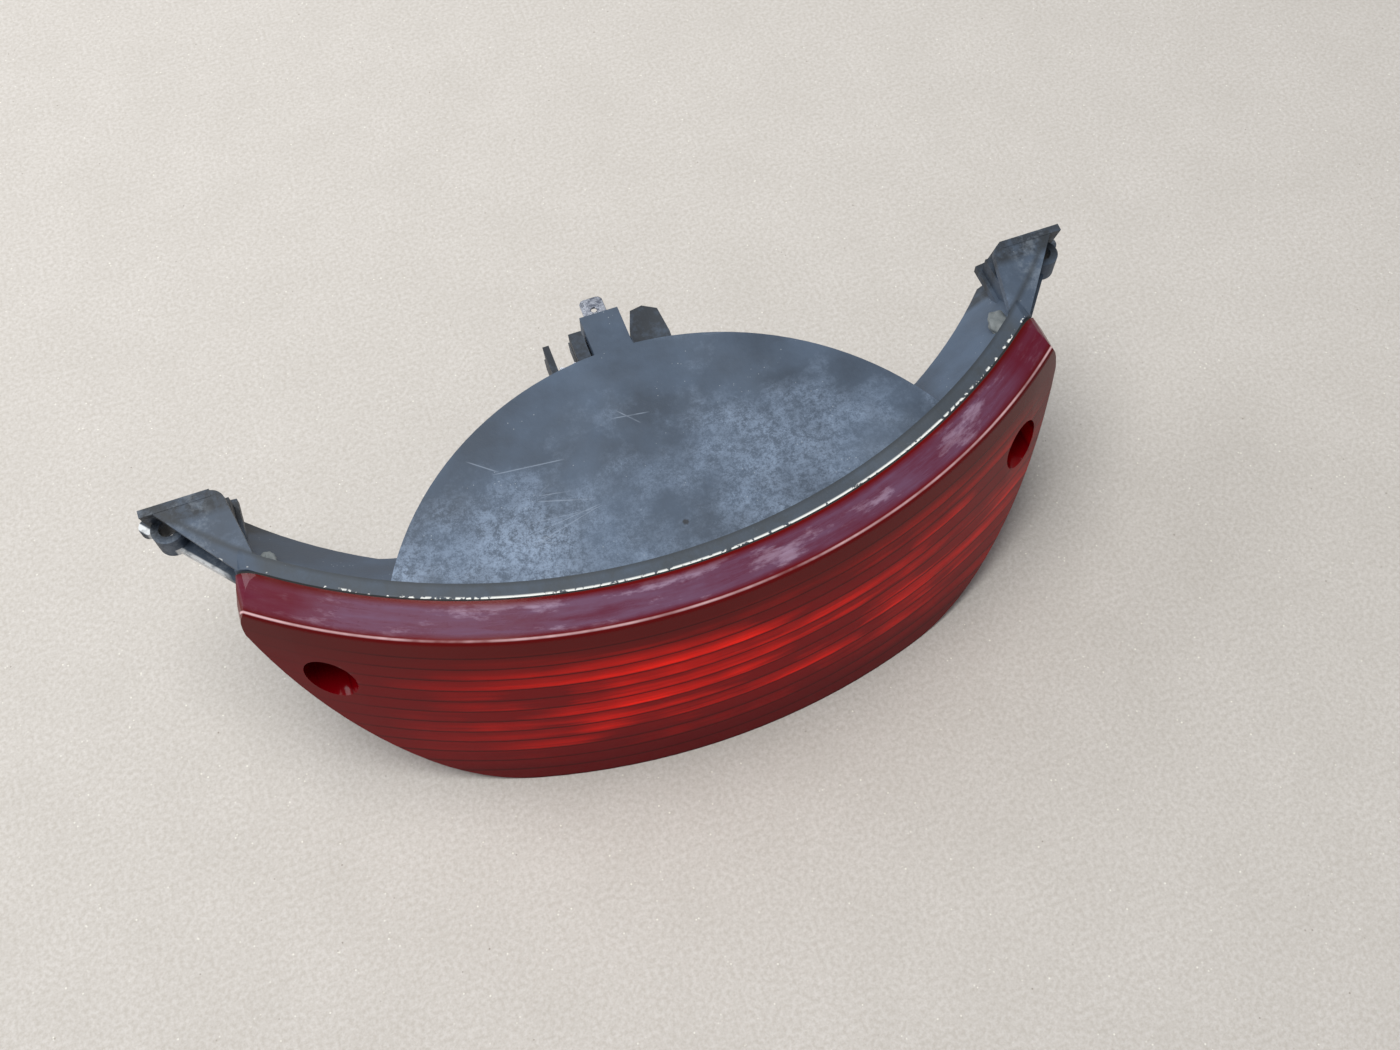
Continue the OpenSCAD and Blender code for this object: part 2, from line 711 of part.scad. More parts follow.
module contact_pads() color("goldenrod") place() for (s = [-1, 1])
    along_y(0, pad_y, bulb_z + s * contact_z) rotate_extrude()
        polygon([[0, 0], [1.9, 0], [2.1, 0.2], [2.1, pad_t], [0.9, pad_t],
            [0.9, carrier_t + pad_t + 0.5], [0, carrier_t + pad_t + 0.5]]);

spring_r = 5.5;
spring_wire = 0.7;
module contact_spring() color("silver") place()
    translate([0, carrier_y + carrier_t + face_gap + spring_wire / 2, bulb_z]) rotate([0, 0, 90])
        winding(spring_r, spring_wire, spring_l - spring_wire - 2 * face_gap, 3, 10, 28);

// Flexible leads from the contact pads, out of the holder's rear hole and up to the side terminals.
module lead(level, sx) {
    start_y = carrier_y + carrier_t + 0.5 + face_gap;
    turn_y = holder_back_y + 1.6;
    wire_run([[0, start_y, bulb_z + level * contact_z], [sx * 0.6, turn_y, bulb_z + level * contact_z],
        [sx * (blade_pitch - 2), turn_y, bulb_z + 9],
        [sx * blade_pitch, blade_in_y + 1, blade_z - blade_t / 2 - face_gap]], 1.2);
}

module lead_stop() color("firebrick") place() lead(1, RIGHT);
module lead_tail() color("steelblue") place() lead(-1, LEFT);

module earth_strap() color("lightgray") place() {
    strap_w = 5;
    head_z = blade_z - blade_t / 2 - 0.5;
    foot_z = bulb_z + 10;
    translate([-strap_w / 2, flange_y + flange_t, foot_z]) cube([strap_w, 0.6, head_z - foot_z + 0.5]);
    translate([-strap_w / 2, flange_y + flange_t, head_z])
        cube([strap_w, blade_in_y + 3 - flange_y - flange_t, 0.5]);
}

// ---- connector blades ----

module blade(x, end_y, whole) {
    corner = 1.1;
    color("silver") place() translate([x, 0, blade_z - blade_t / 2]) linear_extrude(blade_t) difference() {
        polygon(concat(
            [[-blade_w / 2, blade_in_y], [blade_w / 2, blade_in_y]],
            whole ? [[blade_w / 2, end_y - corner], [blade_w / 2 - 0.7, end_y - 0.2],
                [blade_w / 2 - corner - 0.4, end_y], [-blade_w / 2 + corner + 0.4, end_y],
                [-blade_w / 2 + 0.7, end_y - 0.2], [-blade_w / 2, end_y - corner]]
            : [[blade_w / 2, end_y - 1.4], [blade_w / 6, end_y],
                [-blade_w / 8, end_y - 1], [-blade_w / 2, end_y - 0.3]]));
        if (whole) translate([0, end_y - 4]) circle(d = 1.6);
    }
}

module terminal_earth() blade(0, blade_end_y, true);
module terminal_stop() blade(blade_pitch, stub_end_y + 3, false);
module terminal_tail() blade(-blade_pitch, stub_end_y, false);

housing();
ear_left();
ear_right();
lens();
lens_gasket();
lens_screw_left();
lens_screw_right();
screw_seal_left();
screw_seal_right();
screw_insert_left();
screw_insert_right();
bulb_glass();
bulb_stem();
filament_stop();
filament_tail();
filament_leads();
bulb_cap();
bulb_pins();
cap_insulator();
cap_contacts();
holder_shell();
holder_rivets();
contact_carrier();
contact_pads();
contact_spring();
lead_stop();
lead_tail();
earth_strap();
terminal_stop();
terminal_earth();
terminal_tail();
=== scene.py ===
# %% [markdown]
# A scooter's tail light, loose on a sheet of pale card. The shapes come from the packed
# model, which is a set of separate nodes in metres: a dark moulded housing, a one-piece
# red lens, its screws, and the bulb and holder inside. This script gives each of them the
# finish of the real thing, softens the sharp edges, adds the small things that a mould
# drawing leaves out, and sets the floor, the light and the camera.

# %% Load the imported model
import math

import bmesh
import bpy
from mathutils import Euler, Matrix, Vector, noise


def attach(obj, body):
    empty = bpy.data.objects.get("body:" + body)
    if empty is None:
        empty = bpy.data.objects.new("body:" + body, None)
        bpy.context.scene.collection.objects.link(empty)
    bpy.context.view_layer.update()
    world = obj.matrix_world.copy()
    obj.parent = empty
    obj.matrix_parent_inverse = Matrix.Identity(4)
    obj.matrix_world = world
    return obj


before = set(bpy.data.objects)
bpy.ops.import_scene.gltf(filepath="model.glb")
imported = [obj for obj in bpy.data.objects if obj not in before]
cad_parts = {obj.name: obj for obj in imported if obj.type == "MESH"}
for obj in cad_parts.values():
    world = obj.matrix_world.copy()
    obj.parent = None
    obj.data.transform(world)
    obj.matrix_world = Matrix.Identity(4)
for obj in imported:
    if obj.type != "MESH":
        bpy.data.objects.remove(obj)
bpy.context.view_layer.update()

# %% [markdown]
# Every finish below is a small sheet of shader nodes. Wiring nodes by hand is long, so a
# helper keeps one sheet and offers the few steps that worn plastic and metal need: noise,
# cells, a remap, a colour mix and a bump. All patterns read Object coordinates, and since
# each node's object sits at the origin, a pattern is in metres and stays in place.

# %% A helper for one finish
def colour(red, green, blue):
    """A screen colour, 0 to 255 a channel, as the linear colour that a shader wants."""
    def linear(v):
        v = v / 255
        return v / 12.92 if v <= 0.04045 else ((v + 0.055) / 1.055) ** 2.4
    return (linear(red), linear(green), linear(blue), 1)


class Finish:
    """One material and short names for the nodes on its sheet."""

    def __init__(self, name, **sockets):
        self.material = bpy.data.materials.new(name)
        self.material.use_nodes = True
        self.nodes = self.material.node_tree.nodes
        self.links = self.material.node_tree.links
        self.shader = self.nodes["Principled BSDF"]
        self.place = self.nodes.new("ShaderNodeTexCoord").outputs["Object"]
        for socket, value in sockets.items():
            self.shader.inputs[socket.replace("_", " ")].default_value = value

    def feed(self, socket, value):
        """Links an output to a socket, or sets the socket to a number or a colour."""
        if isinstance(value, bpy.types.NodeSocket):
            self.links.new(value, socket)
        else:
            socket.default_value = value

    def math(self, kind, first, second=0.0, third=0.0):
        node = self.nodes.new("ShaderNodeMath")
        node.operation = kind
        for socket, value in zip(node.inputs, (first, second, third)):
            self.feed(socket, value)
        return node.outputs[0]

    def times(self, first, second):
        return self.math("MULTIPLY", first, second)

    def off(self, value, middle):
        """How far a value is from a middle one, always positive."""
        return self.math("ABSOLUTE", self.math("SUBTRACT", value, middle))

    def reach(self, across, along):
        """The length of the slanted side over two distances at right angles."""
        squares = self.math("ADD", self.times(across, across), self.times(along, along))
        return self.math("SQRT", squares)

    def axes(self):
        """The x, y and z of the point, as three outputs."""
        node = self.nodes.new("ShaderNodeSeparateXYZ")
        self.links.new(self.place, node.inputs[0])
        return node.outputs

    def point(self, x, y, z):
        node = self.nodes.new("ShaderNodeCombineXYZ")
        for socket, value in zip(node.inputs, (x, y, z)):
            self.feed(socket, value)
        return node.outputs[0]

    def stretched(self, scale, turn=(0, 0, 0)):
        """The point, scaled by three numbers and turned, for patterns with a direction."""
        node = self.nodes.new("ShaderNodeMapping")
        node.inputs["Scale"].default_value = scale
        node.inputs["Rotation"].default_value = turn
        self.links.new(self.place, node.inputs["Vector"])
        return node.outputs[0]

    def noise(self, scale, detail=2.0, roughness=0.5, at=None):
        node = self.nodes.new("ShaderNodeTexNoise")
        self.links.new(at or self.place, node.inputs["Vector"])
        node.inputs["Scale"].default_value = scale
        node.inputs["Detail"].default_value = detail
        node.inputs["Roughness"].default_value = roughness
        return node.outputs["Fac"]

    def cells(self, scale, feature="F1", at=None):
        node = self.nodes.new("ShaderNodeTexVoronoi")
        node.feature = feature
        self.links.new(at or self.place, node.inputs["Vector"])
        node.inputs["Scale"].default_value = scale
        return node.outputs["Distance"]

    def remap(self, value, low, high, to_low=0.0, to_high=1.0):
        """Value from low to high becomes to_low to to_high, and stays in that range."""
        node = self.nodes.new("ShaderNodeMapRange")
        for socket, number in zip(node.inputs, (value, low, high, to_low, to_high)):
            self.feed(socket, number)
        return node.outputs[0]

    def mix(self, share, first, second):
        node = self.nodes.new("ShaderNodeMix")
        node.data_type = "RGBA"
        fields = {"Factor_Float": share, "A_Color": first, "B_Color": second}
        for socket in node.inputs:
            if socket.identifier in fields:
                self.feed(socket, fields[socket.identifier])
        return next(socket for socket in node.outputs if socket.identifier == "Result_Color")

    def bump(self, height, strength, distance=0.001):
        node = self.nodes.new("ShaderNodeBump")
        node.inputs["Strength"].default_value = strength
        node.inputs["Distance"].default_value = distance
        self.links.new(height, node.inputs["Height"])
        self.links.new(node.outputs[0], self.shader.inputs["Normal"])

    def paint(self, base=None, rough=None):
        if base is not None:
            self.feed(self.shader.inputs["Base Color"], base)
        if rough is not None:
            self.feed(self.shader.inputs["Roughness"], rough)


def dress(finish, *nodes):
    """Gives a finish to CAD nodes."""
    for name in nodes:
        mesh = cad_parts[name].data
        mesh.materials.clear()
        mesh.materials.append(finish.material)
    print(finish.material.name, "on", ", ".join(nodes))


# %% [markdown]
# The lens is swept about one upright axis behind the lamp, and so is the lip behind it.
# Patterns that follow the lens, such as its streaks and the bright flecks on the lip, need
# the distance from that axis and the angle round it instead of x and y. The round rear edge
# of the half-moon plate has its own centre, which stands in front of the origin.

# %% Where the sweep's axis stands
AXIS_Y = 0.12895
CREASE_R = 0.170
RIM_R = 0.1618
GROOVE_R = 0.1560
PLATE_CENTRE_Y = -0.0434
PLATE_R = 0.0782


def round_axis(finish):
    """Distance from the sweep's axis, and the angle round it, as two outputs."""
    x, y, z = finish.axes()
    forward = finish.math("SUBTRACT", AXIS_Y, y)
    return finish.reach(x, forward), finish.math("ARCTAN2", x, forward)


print("sweep's axis at y", AXIS_Y, "m, crease at radius", CREASE_R, "m")

# %% [markdown]
# The housing is a matt slate plastic that has lived outdoors. The sheet starts with its
# slightly mottled colour and with masks: where the plate is, and where the lip is.

# %% Slate plastic and where its parts are
slate = Finish("slate_housing_plastic", Specular_IOR_Level=0.4)
x, y, z = slate.axes()
radius, angle = round_axis(slate)
from_middle = slate.math("ABSOLUTE", x)
mottle = slate.noise(38, 5, 0.6)
base = slate.mix(slate.remap(mottle, 0.36, 0.64), colour(54, 66, 82), colour(78, 93, 113))

above_plate = slate.remap(z, 0.0503, 0.0507)
on_plate = slate.times(above_plate, slate.remap(radius, GROOVE_R, GROOVE_R - 0.0008))
behind_lens = slate.remap(from_middle, 0.099, 0.096)
on_lip = slate.times(slate.remap(radius, GROOVE_R - 0.0004, GROOVE_R + 0.0002), behind_lens)
on_lip = slate.times(on_lip, slate.remap(z, 0.0500, 0.0512))
print("slate: mottle and the masks of the plate and the lip")

# %% [markdown]
# Chalky scuffs cover the front half of the half-moon plate. A cloud of noise that grows
# towards the front says where, and a fine grain breaks them up.

# %% Chalky scuffs
frontness = slate.remap(y, 0.012, -0.028)
cloud = slate.noise(24, 7, 0.68)
scuff_area = slate.remap(slate.math("ADD", slate.times(frontness, 0.16), cloud), 0.46, 0.72)
grain = slate.remap(slate.noise(460, 6, 0.9), 0.42, 0.58, 0.1, 1.0)
scuff = slate.times(slate.times(scuff_area, grain), on_plate)
base = slate.mix(slate.times(scuff, 0.72), base, colour(152, 170, 196))
print("slate: scuffs on the front of the plate")

# %% [markdown]
# Scratches come in two kinds. The many faint ones are the borders of long, thin cells. The
# few clear ones are straight strokes between two points: a V on the left of the plate, and
# a small cross near its middle.

# %% Scratches
SCRATCH_WIDTH = 0.00022


def faint_scratches(finish, scale, turn, share):
    """Thin lines along one direction, broken up by a slow noise."""
    lines = finish.cells(1.0, "DISTANCE_TO_EDGE", finish.stretched(scale, turn))
    return finish.times(finish.remap(lines, 0.012, 0.004),
                        finish.remap(finish.noise(30, 2), share, share + 0.05))


def stroke(finish, start, end):
    """One straight scratch between two points, seen from above."""
    x, y, _ = finish.axes()
    run_x, run_y = end[0] - start[0], end[1] - start[1]
    length = math.hypot(run_x, run_y)
    from_x = finish.math("SUBTRACT", x, start[0])
    from_y = finish.math("SUBTRACT", y, start[1])
    along = finish.math("ADD", finish.times(from_x, run_x / length), finish.times(from_y, run_y / length))
    aside = finish.off(finish.times(from_x, run_y / length), finish.times(from_y, run_x / length))
    return finish.times(finish.remap(aside, SCRATCH_WIDTH, SCRATCH_WIDTH * 0.4),
                        finish.remap(finish.off(along, length / 2), length / 2, length / 2 - 0.002))


marks = slate.math("MAXIMUM", faint_scratches(slate, (30, 160, 160), (0, 0, 0.5), 0.56),
                   faint_scratches(slate, (26, 140, 140), (0, 0, -0.7), 0.58))
v_shape = (((-0.045, 0.016), (-0.038, 0.010)), ((-0.040, 0.010), (-0.022, 0.008)))
cross = (((-0.008, 0.0150), (0.002, 0.0135)), ((-0.006, 0.017), (-0.001, 0.011)))
for start, end in v_shape + cross:
    marks = slate.math("MAXIMUM", marks, stroke(slate, start, end))
marks = slate.times(marks, above_plate)
marks = slate.times(marks, slate.remap(slate.noise(260, 3), 0.3, 0.5, 0.3, 1.0))
base = slate.mix(slate.times(marks, 0.45), base, colour(150, 162, 180))
print("slate: faint scratches and", len(v_shape + cross), "strokes")

# %% [markdown]
# Then the dirt: pale specks, a lip that is darker than the plate and one dark pit. A darker
# line follows the groove between the plate and the lip. Shade is painted into the hollow
# broken cells of the connector, so they come out darker than the skin of the moulding. The
# mask of this painted shade takes everything behind the plate but the middle cell, so it also
# leaves dark patches of painted shade on the ears, which are rubbed pale as well.

# %% Specks, pit, painted shade in the broken cells, and dirt
PIT = (-0.0005, -0.0188)
specks = slate.times(slate.remap(slate.cells(800), 0.14, 0.07), slate.remap(slate.noise(150, 2), 0.58, 0.64))
base = slate.mix(slate.times(specks, 0.5), base, colour(190, 196, 200))
lip_dirt = slate.times(on_lip, slate.remap(slate.noise(120, 5, 0.7), 0.36, 0.66, 0.45, 0.95))
base = slate.mix(lip_dirt, base, colour(58, 64, 70))

from_pit = slate.reach(slate.math("SUBTRACT", x, PIT[0]), slate.math("SUBTRACT", y, PIT[1]))
ragged = slate.remap(slate.noise(900, 2), 0.3, 0.7, 0, 0.0006)
pit = slate.times(slate.remap(slate.math("ADD", from_pit, ragged), 0.0012, 0.0007), above_plate)
base = slate.mix(slate.times(pit, 0.85), base, colour(28, 30, 34))

from_centre = slate.reach(x, slate.math("SUBTRACT", y, PLATE_CENTRE_Y))
# Painted shade in the hollow broken cells of the connector, which also darkens patches on the ears.
painted_cell_shade = slate.times(slate.remap(from_centre, PLATE_R + 0.0002, PLATE_R + 0.0006),
                      slate.remap(from_middle, 0.0056, 0.0060))
painted_cell_shade = slate.times(painted_cell_shade, slate.remap(y, 0.020, 0.022))
painted_cell_shade = slate.times(painted_cell_shade, slate.remap(slate.noise(260, 5, 0.75), 0.66, 0.46, 0.35, 0.9))
base = slate.mix(painted_cell_shade, base, colour(26, 30, 36))

on_ear = slate.times(slate.remap(from_middle, 0.104, 0.107),
                     slate.remap(slate.noise(210, 5, 0.75), 0.50, 0.64))
base = slate.mix(slate.times(on_ear, 0.3), base, colour(150, 160, 172))
dust = slate.remap(slate.noise(17, 4, 0.6), 0.5, 0.75, 0, 0.18)
base = slate.mix(dust, base, colour(124, 132, 142))
# Darker along the groove between the plate and the lip.
groove_darkening = slate.times(slate.remap(slate.off(radius, GROOVE_R), 0.0012, 0.0002), above_plate)
base = slate.mix(slate.times(groove_darkening, 0.6), base, colour(40, 44, 48))
print("slate: specks, lip, pit, broken cells, worn ears, dust and grime")

# %% [markdown]
# The flecks of silver along the lip's front edge are what is left of the reflector's
# coating. They sit on the last fraction of a millimetre of the lip, where it meets the lens.
# A mask by distance from the axis keeps them there; a fast noise breaks the line, and a slow
# one by angle decides where it is nearly whole and where only crumbs are left.

# %% Silver flecks on the lip's edge
edge = slate.times(slate.remap(radius, 0.1593, 0.1597), slate.remap(z, 0.0526, 0.0532))
along = slate.noise(9, 2, 0.5, slate.point(angle, 0.0, 0.0))
crumbs = slate.noise(700, 2, 0.6)
wholeness = slate.math("ADD", slate.times(along, 0.5), crumbs)
middle = slate.remap(slate.off(angle, 0.05), 0.62, 0.32, -0.16, 0.06)
fleck = slate.times(edge, slate.remap(slate.math("ADD", wholeness, middle), 0.70, 0.76))
base = slate.mix(fleck, base, colour(240, 240, 236))

# The same coating shows on the outer edge of the left ear's lower plate, a slanted line.
EDGE_X, EDGE_Y, EDGE_SLOPE = -0.1085, 0.01115, 1.214
beyond = slate.math("SUBTRACT", EDGE_X, x)
from_edge = slate.off(slate.math("SUBTRACT", y, EDGE_Y), slate.times(beyond, EDGE_SLOPE))
foil = slate.times(slate.remap(from_edge, 0.0014, 0.0009), slate.remap(beyond, -0.003, -0.001))
foil = slate.times(foil, slate.remap(z, 0.0462, 0.0459))
foil = slate.times(foil, slate.remap(slate.noise(260, 3), 0.35, 0.5))
base = slate.mix(foil, base, colour(226, 228, 230))

slate.paint(base, slate.remap(mottle, 0.3, 0.7, 0.46, 0.62))
slate.bump(slate.math("ADD", slate.noise(1500, 3, 0.6), slate.times(marks, -0.6)), 0.12, 0.0004)
dress(slate, "housing", "ear_left", "ear_right")

# %% [markdown]
# The lens is moulded in clear red plastic, hollow, with flutes inside that break the light
# into bright lines. Real transmission through a wall with a dark box behind it comes out
# nearly black, so the finish is mostly body colour with light and shade painted into it:
# painted shade at the ends and the foot, painted light where the flutes catch the light.
# A weak emission stands in for the light that scatters between the flutes. The lamp isn't
# switched on.

# %% Where the lens is lit
FLUTE_PITCH = 0.00382
red = Finish("red_lens_plastic", IOR=1.36, Transmission_Weight=0.12,
             Specular_IOR_Level=0.25, Emission_Strength=0.3)
x, y, z = red.axes()
radius, angle = round_axis(red)
from_front = red.math("ABSOLUTE", angle)
flute = red.math("DIVIDE", z, FLUTE_PITCH)
flute_number = red.math("FLOOR", flute)
in_flute = red.math("FRACT", flute)

patch_at = red.point(red.times(angle, 1.3), red.times(flute_number, 2.3), 0.0)
threads_at = red.point(red.times(angle, 0.5), 0.0, red.times(z, 60))
glow = red.math("ADD", red.times(red.noise(2.4, 3, 0.55, patch_at), 0.72),
                red.times(red.noise(9, 3, 0.6, threads_at), 0.28))
lit = red.times(red.remap(red.off(z, 0.026), 0.021, 0.008), red.remap(red.off(angle, 0.08), 0.56, 0.28))
step = red.times(red.remap(in_flute, 0.06, 0.16), red.remap(in_flute, 1.0, 0.3, 0.25, 1))
glow = red.times(red.times(red.remap(glow, 0.46, 0.64), lit), step)
print("lens: flutes every", FLUTE_PITCH * 1000, "mm")

# %% [markdown]
# Shade is painted into the body colour: it goes darker towards the ends and the foot, and a
# painted reflection turns it brownish just under the crease. A thin dark line of painted
# shade marks the root of each flute.

# %% Red body colour with painted shade
body = red.mix(red.noise(14, 3), colour(120, 0, 8), colour(158, 2, 12))
# Painted shade: darker towards the ends of the lens and towards its foot.
darker = red.math("MAXIMUM", red.remap(from_front, 0.40, 0.60), red.remap(z, 0.016, 0.006))
body = red.mix(red.times(darker, 0.6), body, colour(92, 0, 12))
# Painted reflection: brownish just under the crease.
body = red.mix(red.times(red.remap(z, 0.036, 0.047), 0.55), body, colour(84, 18, 14))
# Painted shade: a thin dark line at the root of each flute.
root = red.times(red.remap(in_flute, 0.20, 0.06), red.remap(z, 0.048, 0.046))
root = red.times(root, red.remap(from_front, 0.56, 0.46, 0.2, 0.75))
body = red.mix(root, body, colour(66, 0, 4))
# Painted light: bright red where the flutes catch the light, given again as a weak emission.
base = red.mix(glow, body, colour(255, 24, 4))
red.feed(red.shader.inputs["Emission Color"], red.mix(glow, colour(22, 0, 0), colour(255, 22, 0)))
print("lens: body colour, flute roots and glow")

# %% [markdown]
# The strip on top of the lens has met the most weather. Its purple-grey haze is partly
# weathering and partly a painted reflection of the bright room. It runs in streaks along the
# sweep, fades towards the ends and leaves a clean dark band at each edge, next to the rim and
# next to the crease. A pale line along the crease is a painted highlight.

# %% Haze and painted reflection on the strip, painted highlight on the crease
off_crease = red.remap(radius, CREASE_R - 0.0010, CREASE_R - 0.0024)
off_rim = red.remap(radius, RIM_R - 0.0006, RIM_R + 0.0008)
on_strip = red.times(red.times(red.remap(z, 0.0508, 0.0516), off_crease), off_rim)
streaks = red.noise(5, 5, 0.65, red.point(red.times(angle, 1.5), red.times(radius, 90), 0.0))
wear = red.noise(70, 5, 0.7)
haze_and_sky_reflection = red.math("ADD", red.times(streaks, 0.7), red.times(wear, 0.3))
haze_and_sky_reflection = red.remap(haze_and_sky_reflection, 0.34, 0.60, 0.25, 0.92)
haze_and_sky_reflection = red.times(red.times(on_strip, haze_and_sky_reflection), red.remap(from_front, 0.60, 0.52, 0.25, 1))
smears_at = red.point(red.times(angle, 2.2), red.times(radius, 45), 0.0)
smears = red.remap(red.noise(3.4, 6, 0.7, smears_at), 0.52, 0.60)
base = red.mix(on_strip, base, colour(104, 6, 28))
# Painted reflection of the bright room, in purple-grey streaks mixed with the weathered haze.
base = red.mix(haze_and_sky_reflection, base, red.mix(smears, colour(122, 86, 114), colour(174, 146, 172)))

# Painted highlight: a thin pale line along the crease.
painted_crease_highlight = red.remap(red.off(radius, CREASE_R - 0.0007), 0.00034, 0.0001)
painted_crease_highlight = red.times(painted_crease_highlight, red.remap(z, 0.0490, 0.0500))
painted_crease_highlight = red.times(painted_crease_highlight, red.remap(red.noise(40, 4, 0.7), 0.36, 0.58, 0.15, 0.85))
base = red.mix(painted_crease_highlight, base, colour(250, 206, 210))
red.paint(base, red.math("ADD", red.remap(wear, 0.3, 0.7, 0.09, 0.16), red.times(haze_and_sky_reflection, 0.25)))
red.bump(red.noise(320, 3, 0.6), 0.03, 0.0004)
dress(red, "lens")

# %% [markdown]
# Small metal and plastic parts need less: a base colour that drifts, a roughness that
# drifts with it, and a fine bump. One helper makes them all, with the grain's scale and
# the two colours as its arguments.

# %% Small parts
def small_part(name, dark, light, rough, metallic=0.0, scale=300, depth=0.1, **sockets):
    finish = Finish(name, Metallic=metallic, **sockets)
    drift = finish.noise(scale, 4, 0.6)
    finish.paint(finish.mix(drift, dark, light), finish.remap(drift, 0.3, 0.7, rough - 0.08, rough + 0.08))
    finish.bump(finish.noise(scale * 4, 2), depth, 0.0002)
    return finish


dress(small_part("foam_gasket", colour(22, 22, 23), colour(46, 46, 46), 0.9, scale=900, depth=0.5),
      "lens_gasket")
dress(small_part("dulled_screw_zinc", colour(120, 112, 98), colour(186, 180, 168), 0.38, 1.0),
      "lens_screw_left", "lens_screw_right")
dress(small_part("seal_rubber", colour(16, 16, 17), colour(34, 34, 35), 0.7),
      "screw_seal_left", "screw_seal_right")
dress(small_part("turned_brass", colour(150, 112, 48), colour(206, 168, 92), 0.32, 1.0),
      "screw_insert_left", "screw_insert_right")
dress(small_part("aged_cap_brass", colour(122, 94, 48), colour(196, 164, 100), 0.36, 1.0),
      "bulb_cap", "bulb_pins")
dress(small_part("pad_brass", colour(150, 116, 56), colour(214, 178, 104), 0.3, 1.0), "contact_pads")
dress(small_part("black_cap_glass", colour(8, 8, 10), colour(20, 20, 24), 0.16), "cap_insulator")
dress(small_part("grey_solder", colour(150, 152, 156), colour(204, 206, 210), 0.42, 1.0), "cap_contacts")
dress(small_part("yellow_plating", colour(148, 138, 104), colour(206, 198, 164), 0.34, 1.0, scale=160),
      "holder_shell", "earth_strap")
dress(small_part("rivet_aluminium", colour(168, 170, 174), colour(214, 216, 218), 0.36, 1.0),
      "holder_rivets")
dress(small_part("brown_fibre_board", colour(78, 42, 20), colour(122, 74, 38), 0.66, scale=500, depth=0.3),
      "contact_carrier")
dress(small_part("spring_steel", colour(120, 122, 126), colour(184, 186, 190), 0.3, 1.0), "contact_spring")
dress(small_part("lead_red_cover", colour(112, 14, 12), colour(156, 26, 20), 0.5), "lead_stop")
dress(small_part("lead_blue_cover", colour(20, 42, 96), colour(34, 66, 138), 0.5), "lead_tail")
dress(small_part("drawn_tungsten", colour(88, 88, 92), colour(140, 140, 146), 0.34, 1.0),
      "filament_stop", "filament_tail", "filament_leads")

# %% [markdown]
# The plated blade is the one shiny spot on the back of the lamp. Tin that has been pushed
# into a socket many times is bright in patches and dull between them.

# %% Tin-plated blades
tin = Finish("mottled_tin_plating", Metallic=1.0)
patches = tin.noise(300, 4, 0.7)
tin.paint(tin.mix(tin.remap(patches, 0.4, 0.6), colour(96, 100, 112), colour(196, 200, 212)),
          tin.remap(patches, 0.35, 0.65, 0.5, 0.16))
tin.bump(tin.noise(500, 3, 0.6), 0.2, 0.0003)
dress(tin, "terminal_stop", "terminal_earth", "terminal_tail")

# %% [markdown]
# The bulb's glass is thin and clear. Smoke from years of use greys it in patches, which a
# noise in the roughness and the colour suggests.

# %% Bulb glass
clear = Finish("smoked_bulb_glass", IOR=1.45, Transmission_Weight=1.0)
smoke = clear.noise(90, 3)
clear.paint(clear.mix(smoke, colour(240, 242, 242), colour(206, 206, 204)),
            clear.remap(smoke, 0.3, 0.7, 0.02, 0.08))
dress(clear, "bulb_glass", "bulb_stem")

# %% [markdown]
# A mould never makes a knife edge, and light finds every rounded edge. The nodes' meshes
# are loose triangles, so the lens, the housing, the ears and the whole blade get three live
# modifiers: Weld joins the triangles, Bevel rounds the edges that are sharper than a limit,
# and Weighted Normal keeps the flat faces flat. The mesh under them isn't touched.

# %% Round the moulded edges
WELD_GAP = 0.00002
SHARPER_THAN = math.radians(32)


def ease_edges(node, width):
    """Rounds a node's sharp edges to a width in metres."""
    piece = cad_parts[node]
    weld = piece.modifiers.new("join", "WELD")
    weld.merge_threshold = WELD_GAP
    bevel = piece.modifiers.new("ease", "BEVEL")
    bevel.width = width
    bevel.segments = 3
    bevel.limit_method = "ANGLE"
    bevel.angle_limit = SHARPER_THAN
    bevel.harden_normals = True
    normals = piece.modifiers.new("flatten", "WEIGHTED_NORMAL")
    normals.keep_sharp = True
    print(node, "edges eased by", round(width * 1000, 2), "mm")


ease_edges("lens", 0.0007)
ease_edges("housing", 0.0004)
ease_edges("ear_left", 0.0005)
ease_edges("ear_right", 0.0005)
ease_edges("terminal_earth", 0.00015)

# %% [markdown]
# Someone has glued the ears: a grey, lumpy bead sits in the corner behind the right end of
# the lip, and a smaller one behind the left end. A bead is a sphere pressed flat and pushed about by a slow
# noise, so that no side of it is regular.

# %% Beads of old glue
glue = Finish("old_grey_glue", Transmission_Weight=0.2, IOR=1.45)
lumps = glue.noise(500, 4, 0.7)
glue.paint(glue.mix(lumps, colour(84, 90, 92), colour(150, 156, 158)),
           glue.remap(lumps, 0.3, 0.7, 0.3, 0.6))
glue.bump(lumps, 0.4, 0.0004)


def glue_bead(name, place, size):
    """A flattened, lumpy bead of glue round a point on the housing."""
    bead = bmesh.new()
    bmesh.ops.create_icosphere(bead, subdivisions=4, radius=1)
    for vertex in bead.verts:
        push = 1 + 0.35 * noise.noise(vertex.co * 1.7 + Vector(place) * 90)
        vertex.co = Vector(place) + Vector([push * vertex.co[i] * size[i] for i in range(3)])
    mesh = bpy.data.meshes.new(name)
    bead.to_mesh(mesh)
    bead.free()
    mesh.shade_smooth()
    mesh.materials.append(glue.material)
    piece = bpy.data.objects.new(name, mesh)
    bpy.context.scene.collection.objects.link(piece)
    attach(piece, "base")
    print(name, "has", len(mesh.polygons), "faces")


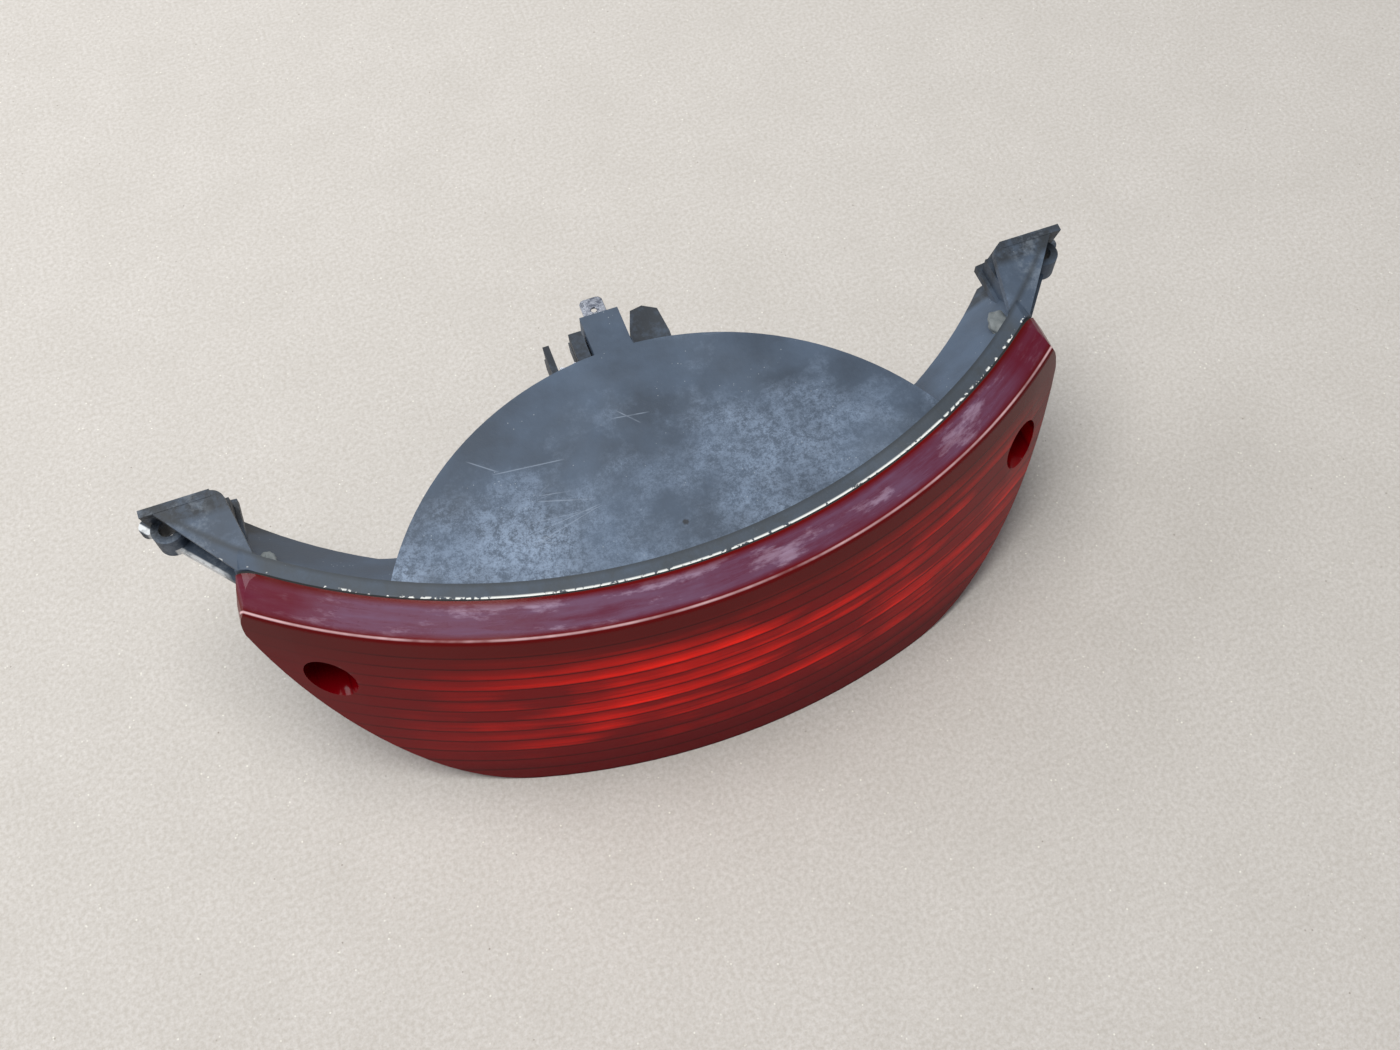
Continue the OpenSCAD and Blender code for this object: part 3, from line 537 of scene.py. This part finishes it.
glue_bead("glue_bead_right", (0.0955, 0.0068, 0.0500), (0.0030, 0.0042, 0.0016))
glue_bead("glue_bead_left", (-0.0960, 0.0062, 0.0502), (0.0022, 0.0030, 0.0010))

# %% [markdown]
# The lamp lies on a sheet of pale, warm grey card. Recycled card is full of tiny fibres and
# flecks, lighter and darker than its pulp, and its surface is faintly rough.

# %% Card on the table
card = Finish("pale_fleck_card", Specular_IOR_Level=0.2)
pulp = card.noise(45, 4, 0.6)
base = card.mix(pulp, colour(208, 202, 196), colour(222, 216, 211))
fine = card.noise(900, 3, 0.7)
base = card.mix(card.remap(fine, 0.35, 0.65, 0, 0.55), base, colour(182, 174, 164))
pale = card.times(card.remap(card.cells(520), 0.16, 0.08), card.remap(card.noise(210, 2), 0.55, 0.62))
base = card.mix(pale, base, colour(240, 236, 226))
dark = card.times(card.remap(card.cells(330), 0.10, 0.05), card.remap(card.noise(160, 2), 0.58, 0.66))
base = card.mix(card.times(dark, 0.6), base, colour(120, 104, 90))
card.paint(base, 0.85)
card.bump(fine, 0.12, 0.0004)

sheet = bmesh.new()
bmesh.ops.create_grid(sheet, x_segments=1, y_segments=1, size=3)
floor_mesh = bpy.data.meshes.new("card_floor")
sheet.to_mesh(floor_mesh)
sheet.free()
floor = bpy.data.objects.new("card_floor", floor_mesh)
bpy.context.scene.collection.objects.link(floor)
floor_mesh.materials.append(card.material)
print("floor:", len(floor_mesh.polygons), "face")

# %% [markdown]
# The light is that of a bright room: a wide soft lamp overhead, a weaker one behind on the
# left, and an even grey sky for the shadows.

# %% Light
def soft_lamp(name, place, aim, size, watts, tint):
    light = bpy.data.lights.new(name, "AREA")
    light.shape = "RECTANGLE"
    light.size, light.size_y = size
    light.energy = watts
    light.color = tint
    lamp = bpy.data.objects.new(name, light)
    lamp.location = place
    lamp.rotation_euler = (Vector(aim) - Vector(place)).to_track_quat("-Z", "Y").to_euler()
    bpy.context.scene.collection.objects.link(lamp)
    print(name, "at", place, "gives", watts, "W")


soft_lamp("ceiling_softbox", (-0.25, 0.25, 1.3), (0, 0, 0), (1.2, 0.9), 15, (1, 1, 0.97))
soft_lamp("window_softbox", (-1.1, 0.9, 0.8), (0, 0, 0.02), (0.9, 0.7), 9, (0.92, 0.96, 1))

world = bpy.data.worlds.new("room")
bpy.context.scene.world = world
world.use_nodes = True
world.node_tree.nodes["Background"].inputs["Color"].default_value = (0.86, 0.9, 0.95, 1)
world.node_tree.nodes["Background"].inputs["Strength"].default_value = 0.34

# %% [markdown]
# The red of the lens has to stay a pure red when it's bright. Blender's default view pulls
# strong colours towards white, so the scene is shown with the plain Standard view instead.

# %% View
bpy.context.scene.view_settings.view_transform = "Standard"
print("view:", bpy.context.scene.view_settings.view_transform)

# %% [markdown]
# The camera looks down from the front and a little from the left, as someone would who
# had just put the lamp on the table.

# %% Camera
CAMERA_PLACE = Vector((-0.0520, -0.1674, 0.3445))
camera_data = bpy.data.cameras.new("camera")
camera_data.lens = 36
camera_data.sensor_width = 36
camera_data.clip_start = 0.01
camera = bpy.data.objects.new("camera", camera_data)
camera.location = CAMERA_PLACE
turn = Euler((math.radians(28.05), 0, math.radians(-20.33))).to_matrix()
camera.rotation_euler = (turn @ Matrix.Rotation(math.radians(-0.45), 3, "Z")).to_euler()
bpy.context.scene.collection.objects.link(camera)
bpy.context.scene.camera = camera
print("camera", round((CAMERA_PLACE - Vector((0, 0, 0.03))).length, 3), "m from the lamp")
